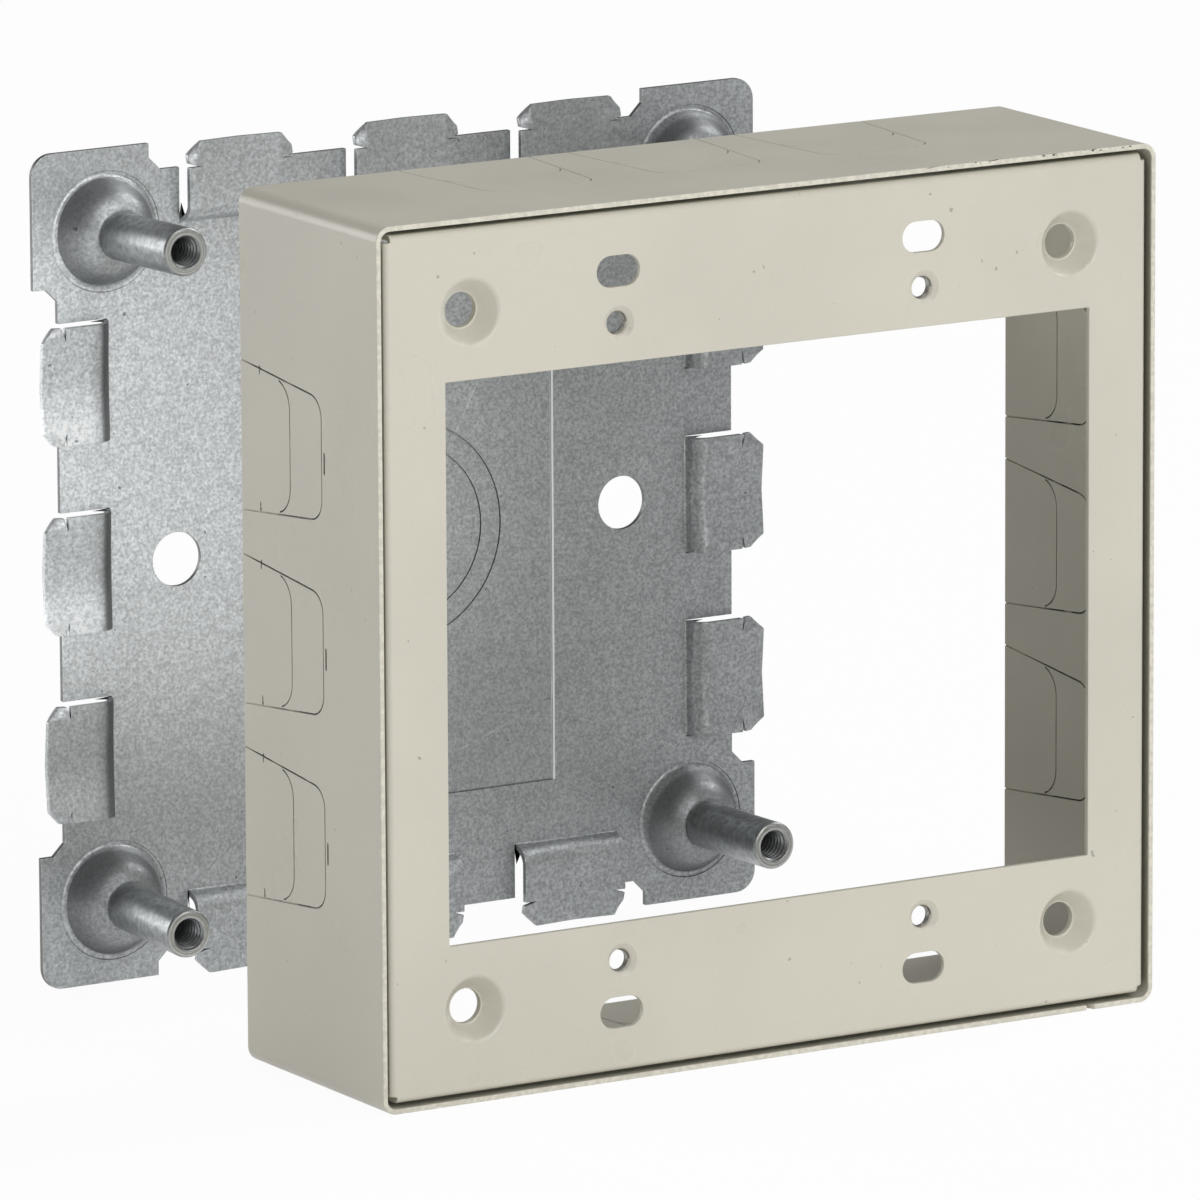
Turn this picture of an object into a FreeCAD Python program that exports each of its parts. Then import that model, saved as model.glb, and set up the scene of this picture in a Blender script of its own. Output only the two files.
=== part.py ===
import FreeCAD, Part
import math
import os
import re

import Sketcher

# Raceway outlet box for two wiring devices, in two parts that stand apart.
# In front is the painted box: a folded side band and a front plate pressed into it.
# Behind it is the galvanised base plate, which carries four tapped posts and twelve spring clips.
# X runs across the box, Y runs from the front plate back to the base plate, and Z is up.
# The origin is the centre of the box's bottom face.  All sizes are in millimetres.

SIZES = (
    # side band
    ("box_width", 117.5, "outer width of the box"),
    ("box_height", 114.9, "outer height of the box"),
    ("box_depth", 35.0, "front rim to rear edge"),
    ("band_wall", 0.7, "sheet thickness of the side band"),
    ("band_corner", 2.0, "outside radius of the band's folded corners"),
    ("seam_offset", 49.0, "butt seam in the bottom wall, from the middle"),
    ("seam_gap", 0.15, "gap between the butted ends"),
    ("seam_notch_width", 1.3, "width of the notch where the seam meets the rim"),
    ("seam_notch_depth", 1.5, "depth of that notch"),
    # knockouts in the four walls
    ("knockout_pitch", 25.4, "spacing of the three knockouts in a wall"),
    ("knockout_rear_width", 19.9, "width of a knockout at the rear edge"),
    ("knockout_front_width", 15.9, "width of a knockout at its front end"),
    ("knockout_reach", 20.8, "length of a knockout from the rear edge"),
    ("knockout_corner", 3.0, "radius of its front corners"),
    ("arch_reach", 12.75, "length of the smaller knockout inside it"),
    ("arch_shoulder", 9.9, "where the smaller one leaves the sides"),
    ("arch_width", 10.0, "straight front of the smaller knockout"),
    ("arch_tie", 0.1, "metal left between its line and the larger outline"),
    ("score_width", 0.22, "width of the sheared line"),
    ("score_depth", 0.26, "depth of the sheared line from each side"),
    # front plate
    ("face_recess", 0.3, "front plate behind the rim"),
    ("plate_gap", 0.55, "front plate's flanges to the band"),
    ("plate_wall", 0.8, "sheet thickness of the front plate"),
    ("plate_bend", 0.9, "outside radius of the bend to the flanges"),
    ("flange_depth", 8.0, "front face to the flanges' rear edges"),
    ("corner_relief", 0.05, "how far the flanges stop short of the corners' bends"),
    ("opening_width", 97.2, "device opening, across"),
    ("opening_height", 73.1, "device opening, up"),
    ("gang_spacing", 46.04, "device centres, across"),
    ("device_spacing", 83.34, "tapped device holes, up"),
    ("slot_spacing", 96.84, "mounting slots, up"),
    ("slot_length", 6.35, "length of a mounting slot"),
    ("slot_width", 4.05, "width of a mounting slot"),
    ("device_bore", 3.0, "bore of a tapped device hole"),
    ("device_mouth", 4.6, "diameter of its pressed mouth"),
    ("device_mouth_depth", 0.5, "depth of the pressed mouth"),
    ("collar_diameter", 4.5, "collar drawn behind the device hole"),
    ("collar_length", 1.1, "length of that collar"),
    ("cover_bore", 4.55, "hole for a cover screw"),
    ("dimple_mouth", 9.8, "dimple around it, at the face"),
    ("dimple_floor", 5.0, "dimple at its floor"),
    ("dimple_depth", 2.0, "depth of the dimple"),
    ("dimple_lip", 0.7, "flat margin that the dimple's tool leaves"),
    ("dimple_round", 1.4, "radius where the dimple leaves the face"),
    ("weld_diameter", 3.0, "weld projection between flange and band"),
    ("weld_spacing", 62.0, "weld projections, along a flange"),
    # base plate
    ("stand_off", 82.6, "front plate's face to base plate's face"),
    ("stand_shift", 7.1, "base plate's middle, to the left of the box's"),
    ("base_width", 111.2, "base plate across its corner lobes"),
    ("base_height", 112.4, "base plate up its corner lobes"),
    ("base_wall", 0.8, "sheet thickness of the base plate"),
    ("lobe_corner", 3.0, "radius of the outer corners"),
    ("recess_depth", 3.6, "straight edges behind the lobes"),
    ("lobe_length", 18.05, "lobe from the corner, up the sides"),
    ("lobe_width", 17.6, "lobe from the corner, across the top and bottom"),
    ("shoulder", 1.7, "chamfer at a lobe's end"),
    ("wall_hole_spacing", 69.0, "wall screw holes"),
    ("wall_hole", 7.3, "diameter of a wall screw hole"),
    ("ring_outer", 30.0, "outer round knockout"),
    ("ring_inner", 23.9, "inner round knockout"),
    ("ring_aside", 0.45, "round knockouts' centre, right of the plate's middle"),
    ("ring_below", 0.3, "round knockouts' centre, below the plate's middle"),
    ("panel_width", 46.9, "large scored outline, across"),
    ("panel_height", 73.8, "large scored outline, up"),
    ("mark_width", 0.25, "width of the scored lines"),
    ("mark_depth", 0.25, "depth of the scored lines from each side"),
    ("tie_spacing", 48.8, "ties of the large outline, up"),
    ("tie_length", 2.8, "length of a tie's stamp"),
    ("tie_width", 1.2, "width of a tie's stamp"),
    # posts and the domes that carry them
    ("post_spacing_across", 90.5, "posts and cover screw holes, across"),
    ("post_spacing_up", 90.5, "posts and cover screw holes, up"),
    ("dome_diameter", 15.0, "dome at its foot"),
    ("dome_ring", 0.6, "flat ring pressed round the dome's foot"),
    ("dome_ring_depth", 0.2, "depth of that ring"),
    ("dome_foot_round", 0.7, "radius at the foot"),
    ("dome_shoulder", 10.6, "diameter where the dome's side turns to its cap"),
    ("shoulder_rise", 3.3, "plate's face to that shoulder"),
    ("shoulder_round", 4.0, "radius of the shoulder"),
    ("dome_rise", 4.3, "plate's face to the dome's seat"),
    ("dome_seat", 7.0, "diameter of the flat seat"),
    ("seat_round", 1.0, "radius at the seat's edge"),
    ("post_length", 21.7, "plate's face to the post's end"),
    ("post_diameter", 6.45, "outside of a post"),
    ("post_bore", 3.5, "tapped bore of a post"),
    ("post_mouth", 4.0, "countersink at the bore's mouth"),
    ("post_edge", 0.35, "chamfer on the post's end"),
    ("spigot_diameter", 5.0, "post's spigot through the dome"),
    ("spigot_fit", 0.03, "clearance between spigot and dome, at the radius"),
    ("rivet_diameter", 6.4, "turned-over rim behind the dome"),
    ("rivet_rim", 0.5, "thickness of that rim"),
    # spring clips
    ("clip_pitch", 25.4, "spacing of the three clips on a side"),
    ("clip_width", 15.8, "width of a clip"),
    ("clip_gap", 0.15, "lanced gap beside a clip"),
    ("clip_length", 11.0, "clip's root to its outer edge"),
    ("clip_run", 0.9, "length over which the clip rises"),
    ("clip_rise", 2.55, "face of the clip before the plate's face"),
    ("clip_bow", 0.55, "how far the clip's middle lies back"),
    ("clip_bend", 1.1, "outside radius of the bend at the clip's root"),
    ("clip_crown", 2.4, "outside radius of the bend to the clip's face"),
    ("ear_width", 1.7, "ear at each outer corner"),
    ("ear_length", 3.4, "length of an ear"),
    ("ear_set", 1.1, "how far the ears are bent back"),
    ("ear_chamfer", 1.8, "cut corner of an ear"),
    ("ear_notch", 0.5, "mouth of the notch between ear and clip"),
)

MARGIN = 1.0          # how far a cut runs past what it cuts
ROWS = 3              # knockouts and clips on each side
TINY = 1e-6           # less than this is nothing

doc = FreeCAD.newDocument("OutletBox")
sheet = doc.addObject("Spreadsheet::Sheet", "Sizes")
for row, (alias, number, meaning) in enumerate(SIZES, start=1):
    sheet.set(f"A{row}", meaning)
    sheet.set(f"B{row}", str(number))
    sheet.setAlias(f"B{row}", alias)
doc.recompute()
ALIASES = {alias for alias, number, meaning in SIZES}


def bound(text):
    """An expression in the sheet's names, as the document reads it."""
    return re.sub(r"[a-z_]+", lambda m: "Sizes." + m.group() if m.group() in ALIASES else m.group(), text)


def value(text):
    """The present value of an expression."""
    return float(sheet.evalExpression(bound(text)))


def bind(obj, **expressions):
    """Tie properties of an object to expressions; a double underscore stands for a dot."""
    for name, text in expressions.items():
        obj.setExpression(name.replace("__", "."), bound(text))


def new_body(label):
    body = doc.addObject("PartDesign::Body", label)
    body.Label = label
    return body


def origin_feature(body, role):
    return next(item for item in body.Origin.OriginFeatures if item.Role == role)


def new_sketch(body, name, plane, across="0", up="0", out="0"):
    """A sketch on one of the body's own planes, shifted by three expressions."""
    sketch = body.newObject("Sketcher::SketchObject", name)
    sketch.AttachmentSupport = [(origin_feature(body, plane), "")]
    sketch.MapMode = "FlatFace"
    bind(sketch, AttachmentOffset__Base__x=across, AttachmentOffset__Base__y=up,
         AttachmentOffset__Base__z=out)
    doc.recompute()
    return sketch


def add_rules(sketch, rules):
    """Add the constraints in one go; each is its arguments, and an expression if it has a size."""
    made = sketch.addConstraint([Sketcher.Constraint(*rule) for rule, text in rules])
    for index, (rule, text) in zip(made, rules):
        if text:
            sketch.setExpression(f"Constraints[{index}]", bound(text))


def point_rules(index, spot, texts):
    """Constraints that hold a point of the sketch at two expressions."""
    for kind, axis, number, text in zip(("DistanceX", "DistanceY"), (-2, -1), spot, texts):
        if abs(number) < TINY:
            yield ("PointOnObject", *index, axis), None
        elif number > 0:
            yield (kind, -1, 1, *index, number), text
        else:
            yield (kind, *index, -1, 1, -number), f"-({text})"


def corner_arc(sketch, here, before, after, radius):
    """Round one corner; returns where the rounding starts and ends, and the arc."""
    back = (before - here).normalize()
    ahead = (after - here).normalize()
    half = back.getAngle(ahead) / 2
    reach = radius / math.tan(half)
    top = here + (back + ahead).normalize() * (radius / math.sin(half) - radius)
    first, last = here + back * reach, here + ahead * reach
    return first, last, sketch.addGeometry(Part.Arc(first, top, last))


def curved_side(start, end, radius):
    """An arc that bulges to the right of its way, or to the left if the radius is negative."""
    chord = end - start
    half = chord.Length / 2
    rise = abs(radius) - math.sqrt(radius * radius - half * half)
    aside = FreeCAD.Vector(chord.y, -chord.x, 0).normalize() * math.copysign(rise, radius)
    return Part.Arc(start, (start + end) / 2 + aside, end)


def ends_of(sketch, index, start):
    """Which end of a line or arc lies at the start, and which is the other."""
    near = (sketch.getPoint(index, 1) - start).Length < (sketch.getPoint(index, 2) - start).Length
    return (1, 2) if near else (2, 1)


def outline(sketch, corners, bulges=None):
    """A closed loop.  Each corner is two expressions and, if it is rounded, a third for its radius.
    A side named in bulges, by the corner it starts from, is an arc of that radius."""
    bulges = bulges or {}
    spots = [FreeCAD.Vector(value(corner[0]), value(corner[1]), 0) for corner in corners]
    count = len(corners)
    enter, leave, arcs, sides = list(spots), list(spots), {}, []
    for number, corner in enumerate(corners):
        if len(corner) > 2:
            before, after = spots[number - 1], spots[(number + 1) % count]
            enter[number], leave[number], arcs[number] = corner_arc(
                sketch, spots[number], before, after, value(corner[2]))
    for number in range(count):
        start, end = leave[number], enter[(number + 1) % count]
        if number in bulges:
            side = sketch.addGeometry(curved_side(start, end, value(bulges[number])))
        else:
            side = sketch.addGeometry(Part.LineSegment(start, end))
        sides.append((side,) + ends_of(sketch, side, start))
    rules = []
    for number, corner in enumerate(corners):
        before, after = sides[number - 1], sides[number]
        spot = (spots[number].x, spots[number].y)
        if number not in arcs:
            rules.append((("Coincident", before[0], before[2], after[0], after[1]), None))
            rules.extend(point_rules((after[0], after[1]), spot, corner))
            continue
        arc = arcs[number]
        entry, leaving = ends_of(sketch, arc, enter[number])
        mark = sketch.addGeometry(Part.Point(spots[number]), True)
        rules.append((("Tangent", before[0], before[2], arc, entry), None))
        rules.append((("Tangent", after[0], after[1], arc, leaving), None))
        rules.append((("PointOnObject", mark, 1, before[0]), None))
        rules.append((("PointOnObject", mark, 1, after[0]), None))
        rules.extend(point_rules((mark, 1), spot, corner))
        rules.append((("Radius", arc, value(corner[2])), corner[2]))
    for number, radius in bulges.items():
        rules.append((("Radius", sides[number][0], abs(value(radius))), f"abs({radius})"))
    add_rules(sketch, rules)


def turn(corners):
    """The same corners with across and up exchanged."""
    return [(corner[1], corner[0], *corner[2:]) for corner in corners]


def mirrored(corners):
    """The same corners on the other side of the upright axis, in the opposite order."""
    return [(f"-({corner[0]})", *corner[1:]) for corner in reversed(corners)]


def rectangle(sketch, half_across, half_up, corner=None, across="0", up="0"):
    """A rectangle about a middle point, with rounded corners if a radius is given."""
    round_off = (corner,) if corner else ()
    outline(sketch, [(f"{across} + {a} * ({half_across})", f"{up} + {b} * ({half_up})") + round_off
                     for a, b in ((1, 1), (-1, 1), (-1, -1), (1, -1))])


def stadium(sketch, length, width, across, up):
    """A slot with round ends, lying across."""
    reach, radius = f"(({length}) - ({width})) / 2", value(width) / 2
    ends, rules = [], []
    for sign, start in ((1, -math.pi / 2), (-1, math.pi / 2)):
        texts = (f"{across} + {sign} * {reach}", up)
        spot = (value(texts[0]), value(texts[1]))
        middle = FreeCAD.Vector(*spot, 0)
        whole = Part.Circle(middle, FreeCAD.Vector(0, 0, 1), radius)
        end = sketch.addGeometry(Part.ArcOfCircle(whole, start, start + math.pi))
        rules.extend(point_rules((end, 3), spot, texts))
        rules.append((("Radius", end, radius), f"({width}) / 2"))
        ends.append(end)
    for first, last in (ends, reversed(ends)):
        side = sketch.addGeometry(Part.LineSegment(sketch.getPoint(first, 2), sketch.getPoint(last, 1)))
        rules.append((("Tangent", side, 1, first, 2), None))
        rules.append((("Tangent", side, 2, last, 1), None))
    add_rules(sketch, rules)


def circle(sketch, diameter, across="0", up="0"):
    spot = (value(across), value(up))
    middle, normal = FreeCAD.Vector(*spot, 0), FreeCAD.Vector(0, 0, 1)
    made = sketch.addGeometry(Part.Circle(middle, normal, value(diameter) / 2))
    rules = list(point_rules((made, 3), spot, (across, up)))
    rules.append((("Diameter", made, value(diameter)), diameter))
    add_rules(sketch, rules)


def feature(body, kind, name, sketch, grows, **properties):
    """Add a sketched feature and check that it adds or removes material."""
    before = body.Shape.Volume if body.Tip else 0.0
    made = body.newObject("PartDesign::" + kind, name)
    made.Profile = sketch
    for key, item in properties.items():
        if isinstance(item, str) and key in ("Length", "Length2"):
            bind(made, **{key: item})
        else:
            setattr(made, key, item)
    doc.recompute()
    after = body.Shape.Volume
    if (after > before) != grows or abs(after - before) < TINY:
        raise ValueError(f"{name} left the volume at {after:.3f} from {before:.3f}")
    return made


def repeat(body, name, originals, *steps):
    """Copy features in rows and mirrors.  A row is an axis, a spacing and a count; a mirror is a plane."""
    before = body.Shape.Volume
    made = body.newObject("PartDesign::MultiTransform", name)
    made.Originals = originals
    moves = []
    for number, step in enumerate(steps, start=1):
        if isinstance(step, str):
            move = doc.addObject("PartDesign::Mirrored", f"{name}Mirror{number}")
            move.MirrorPlane = (origin_feature(body, step), [""])
        else:
            axis, spacing, count = step
            move = doc.addObject("PartDesign::LinearPattern", f"{name}Row{number}")
            move.Direction = (origin_feature(body, axis), [""])
            move.Mode = "Spacing"
            bind(move, Offset=spacing)
            move.Occurrences = count
        body.addObject(move)
        moves.append(move)
    made.Transformations = moves
    body.Tip = made
    doc.recompute()
    if abs(body.Shape.Volume - before) < TINY:
        raise ValueError(f"{name} copied nothing")
    return made


def knockout_loops():
    """The sheared lines of one knockout: its outline, and the smaller arch inside it.
    Each is its corners and its curved sides.  A corner is its place across the wall, its place
    along the depth, and a radius if it is rounded."""
    rear, line = "box_depth / 2", "score_width"
    slope = "(knockout_rear_width - knockout_front_width) / 2 / knockout_reach"
    wide, past = f"knockout_rear_width / 2 + {slope} * {MARGIN}", f"{rear} + {MARGIN}"
    narrow, front = "knockout_front_width / 2", f"{rear} - knockout_reach"
    edge = [(wide, past), (narrow, front, "knockout_corner")]
    inner = [(f"{wide} - {line}", past),
             (f"{narrow} - {line}", f"{front} + {line}", f"knockout_corner - {line}")]
    yield edge + mirrored(edge) + mirrored(inner)[::-1] + inner[::-1], {}

    straight, tip = "arch_width / 2", f"{rear} - arch_reach"
    reach = f"knockout_rear_width / 2 - {slope} * arch_shoulder - {line} - arch_tie"
    aside, along = f"({reach} - {straight})", "(arch_reach - arch_shoulder)"
    radius = f"(({aside}^2 + {along}^2) / 2 / {along})"
    within = f"({radius} - {line})"
    edge = [(reach, f"{rear} - arch_shoulder"), (straight, tip)]
    inner = [(f"{straight} + {aside} * {within} / {radius}",
              f"{tip} + {radius} - ({radius} - {along}) * {within} / {radius}"),
             (straight, f"{tip} + {line}")]
    yield (edge + mirrored(edge) + mirrored(inner)[::-1] + inner[::-1],
           {0: f"-{radius}", 2: f"-{radius}", 4: within, 6: within})


def score_walls(body, name, half, plane, row_axis, mirror):
    """Shear the knockouts of one wall from both of its faces, and those of the opposite wall."""
    cuts = []
    upright = row_axis == "Z_Axis"
    for side, out, inward in (("Outside", half, False), ("Inside", f"{half} - band_wall", True)):
        shift = {"up": "-knockout_pitch"} if upright else {"across": "-knockout_pitch"}
        sketch = new_sketch(body, f"{name}{side}Profile", plane, out=out, **shift)
        for corners, bulges in knockout_loops():
            if upright:
                corners = turn(corners)
                bulges = {number: f"-({radius})" for number, radius in bulges.items()}
            outline(sketch, corners, bulges)
        cuts.append(feature(body, "Pocket", name + side, sketch, False,
                            Length="score_depth", Reversed=inward))
    repeat(body, name + "Knockouts", cuts, (row_axis, "knockout_pitch", ROWS), mirror)


def make_side_band():
    """The folded strip that makes the box's four walls, butted at a seam in the bottom wall."""
    body = new_body("side_band")
    half_width, half_height = "box_width / 2", "box_height / 2"
    profile = new_sketch(body, "BandProfile", "XZ_Plane")
    rectangle(profile, half_width, half_height, "band_corner")
    rectangle(profile, f"{half_width} - band_wall", f"{half_height} - band_wall", "band_corner - band_wall")
    feature(body, "Pad", "Band", profile, True, SideType="Symmetric", Length="box_depth")
    seam = new_sketch(body, "SeamProfile", "XZ_Plane", across="seam_offset", up=f"-{half_height}")
    rectangle(seam, "seam_gap / 2", f"band_wall + {MARGIN}")
    feature(body, "Pocket", "Seam", seam, False, SideType="Symmetric", Type="ThroughAll")
    notch = new_sketch(body, "NotchProfile", "XY_Plane", across="seam_offset", up="-box_depth / 2",
                       out=f"-{half_height}")
    notch_half = "seam_notch_width / 2"
    outline(notch, [(notch_half, "0"), ("0", "seam_notch_depth"), (f"-{notch_half}", "0"),
                    (f"-{notch_half}", f"-{MARGIN}"), (notch_half, f"-{MARGIN}")])
    feature(body, "Pocket", "SeamNotch", notch, False, Length="band_wall * 2", Reversed=True)
    score_walls(body, "Side", half_width, "YZ_Plane", "Z_Axis", "YZ_Plane")
    score_walls(body, "Top", half_height, "XY_Plane", "X_Axis", "XY_Plane")
    bind(body, Placement__Base__z=half_height)
    return body


FACE = "-box_depth / 2 + face_recess"          # front plate's face, in the box's own frame
PAN_HALF_WIDTH = "box_width / 2 - band_wall - plate_gap"
PAN_HALF_HEIGHT = "box_height / 2 - band_wall - plate_gap"


def channel(body, name, plane, half, length, turned):
    """The front plate's face with the two flanges of one pair of sides, as a bent channel."""
    wall, bend = "plate_wall", "plate_bend"
    outer, inner = [(half, "flange_depth"), (half, "0", bend)], f"{half} - {wall}"
    corners = outer + mirrored(outer)
    corners += [(f"-({inner})", "flange_depth"), (f"-({inner})", wall, f"{bend} - {wall}"),
                (inner, wall, f"{bend} - {wall}"), (inner, "flange_depth")]
    shift = {"across": FACE} if turned else {"up": FACE}
    sketch = new_sketch(body, name + "Profile", plane, **shift)
    outline(sketch, turn(corners) if turned else corners)
    return feature(body, "Pad", name, sketch, True, SideType="Symmetric",
                   Length=f"2 * ({length} - plate_bend - corner_relief)")


def make_front_plate():
    """The pan pressed into the band's front, with the device opening and the holes of two devices."""
    body = new_body("front_plate")
    channel(body, "SideFlanges", "XY_Plane", PAN_HALF_WIDTH, PAN_HALF_HEIGHT, False)
    channel(body, "TopFlanges", "YZ_Plane", PAN_HALF_HEIGHT, PAN_HALF_WIDTH, True)

    holes = new_sketch(body, "HolesProfile", "XZ_Plane", out=f"-({FACE})")
    rectangle(holes, "opening_width / 2", "opening_height / 2")
    for a in (-1, 1):
        for b in (-1, 1):
            stadium(holes, "slot_length", "slot_width",
                    f"{a} * gang_spacing / 2", f"{b} * slot_spacing / 2")
            circle(holes, "dimple_mouth + 2 * dimple_lip",
                   f"{a} * post_spacing_across / 2", f"{b} * post_spacing_up / 2")
    feature(body, "Pocket", "Holes", holes, False, Length="plate_wall")

    wall, floor, mouth = "plate_wall", "dimple_floor / 2", "dimple_mouth / 2"
    set_back = "plate_wall * tan(atan(2 * dimple_depth / (dimple_mouth - dimple_floor)) / 2)"
    rim = f"{mouth} + dimple_lip"
    dimple = new_sketch(body, "DimpleProfile", "XY_Plane",
                        "post_spacing_across / 2", FACE, "post_spacing_up / 2")
    outline(dimple, [(rim, "0"), (mouth, "0", "dimple_round"), (floor, "dimple_depth"),
                     ("cover_bore / 2", "dimple_depth"), ("cover_bore / 2", f"dimple_depth + {wall}"),
                     (f"{floor} + {set_back}", f"dimple_depth + {wall}"), (f"{mouth} + {set_back}", wall),
                     (rim, wall)])
    made = feature(body, "Revolution", "Dimple", dimple, True, ReferenceAxis=(dimple, ["V_Axis"]))
    repeat(body, "Dimples", [made], "YZ_Plane", "XY_Plane")

    place = ("gang_spacing / 2", FACE, "device_spacing / 2")
    collar = new_sketch(body, "CollarProfile", "XY_Plane", *place)
    back = f"{wall} + collar_length"
    outline(collar, [("0", f"{wall} / 2"), ("collar_diameter / 2", f"{wall} / 2"),
                     ("collar_diameter / 2", back), ("0", back)])
    boss = feature(body, "Revolution", "Collar", collar, True, ReferenceAxis=(collar, ["V_Axis"]))
    bore = new_sketch(body, "BoreProfile", "XY_Plane", *place)
    outline(bore, [("0", f"-{MARGIN}"), ("device_mouth / 2", f"-{MARGIN}"), ("device_mouth / 2", "0"),
                   ("device_bore / 2", "device_mouth_depth"), ("device_bore / 2", f"{back} + {MARGIN}"),
                   ("0", f"{back} + {MARGIN}")])
    cut = feature(body, "Groove", "DeviceBore", bore, False, ReferenceAxis=(bore, ["V_Axis"]))
    repeat(body, "DeviceHoles", [boss, cut], "YZ_Plane", "XY_Plane")

    middle = f"{FACE} + (flange_depth + plate_bend) / 2"
    side = new_sketch(body, "SideWeldProfile", "YZ_Plane", out=PAN_HALF_WIDTH)
    circle(side, "weld_diameter", middle, "weld_spacing / 2")
    welds = feature(body, "Pad", "SideWeld", side, True, Length="plate_gap")
    repeat(body, "SideWelds", [welds], "YZ_Plane", "XY_Plane")
    top = new_sketch(body, "TopWeldProfile", "XY_Plane", out=PAN_HALF_HEIGHT)
    circle(top, "weld_diameter", "weld_spacing / 2", middle)
    welds = feature(body, "Pad", "TopWeld", top, True, Length="plate_gap")
    repeat(body, "TopWelds", [welds], "YZ_Plane", "XY_Plane")
    bind(body, Placement__Base__z="box_height / 2")
    return body


HALF_BASE_WIDTH = "base_width / 2"
HALF_BASE_HEIGHT = "base_height / 2"
DOME_SIDE = "atan(2 * (shoulder_rise + dome_ring_depth) / (dome_diameter - dome_shoulder))"
DOME_CAP = "atan(2 * (dome_rise - shoulder_rise) / (dome_shoulder - dome_seat))"


def clip_section(edge_half, rise, ear_set):
    """Cross-section of a spring clip: outward and back, from inside the plate to the clip's edge."""
    root, edge = f"{edge_half} - clip_length", edge_half
    top, hinge = f"{root} + clip_run", f"{edge_half} - ear_length"
    shift = f"base_wall * tan(atan(({rise}) / clip_run) / 2)"
    return [(f"{root} - {MARGIN}", "0"), (root, "0", "clip_bend - base_wall"),
            (top, f"-({rise})", "clip_crown"), (hinge, f"-({rise})"), (edge, f"{ear_set} - ({rise})"),
            (edge, f"base_wall + {ear_set} - ({rise})"), (hinge, f"base_wall - ({rise})"),
            (f"{top} + {shift}", f"base_wall - ({rise})", "clip_crown - base_wall"),
            (f"{root} + {shift}", "base_wall", "clip_bend"),
            (f"{root} - {MARGIN}", "base_wall")]


def make_clips(body, side, plane, edge_half, turned, row_axis, mirror):
    """Three clips along one edge and three along the opposite edge."""
    half, ear = "clip_width / 2", "clip_width / 2 - ear_width"
    sections = []
    for number, (out, rise, ear_set) in enumerate((
            (f"-({half})", "clip_rise", "ear_set"), (f"-({ear})", "clip_rise", "0"),
            ("0", "clip_rise - clip_bow", "0"),
            (ear, "clip_rise", "0"), (half, "clip_rise", "ear_set")), start=1):
        sketch = new_sketch(body, f"{side}ClipSection{number}", plane, out=f"{out} - clip_pitch")
        corners = clip_section(edge_half, rise, ear_set)
        outline(sketch, turn(corners) if turned else corners)
        sections.append(sketch)
    tongue = feature(body, "AdditiveLoft", side + "Clip", sections[0], True,
                     Sections=sections[1:], Ruled=True)
    shift = {"across": "-clip_pitch"} if turned else {"up": "-clip_pitch"}
    trims = new_sketch(body, side + "EarProfile", "XZ_Plane", **shift)
    past = f"{edge_half} + {MARGIN}"
    for sign in (1, -1):
        ends = f"{sign} * ({half})"
        notch = [(f"{edge_half} - ear_length", f"{sign} * ({ear})"),
                 (f"{edge_half} - ear_length + ear_notch * (1 + {MARGIN} / ear_width)",
                  f"{ends} + {sign * MARGIN}"),
                 (f"{edge_half} - ear_length", f"{ends} + {sign * MARGIN}")]
        chamfer = [(f"{edge_half} - ear_chamfer", ends), (edge_half, f"{ends} - {sign} * ear_chamfer"),
                   (past, f"{ends} - {sign} * ear_chamfer"), (past, f"{ends} + {sign * MARGIN}"),
                   (f"{edge_half} - ear_chamfer", f"{ends} + {sign * MARGIN}")]
        for corners in (notch, chamfer):
            outline(trims, turn(corners) if turned else corners)
    cut = feature(body, "Pocket", side + "Ears", trims, False, SideType="Symmetric", Type="ThroughAll")
    repeat(body, side + "Clips", [tongue, cut], (row_axis, "clip_pitch", ROWS), mirror)


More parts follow.
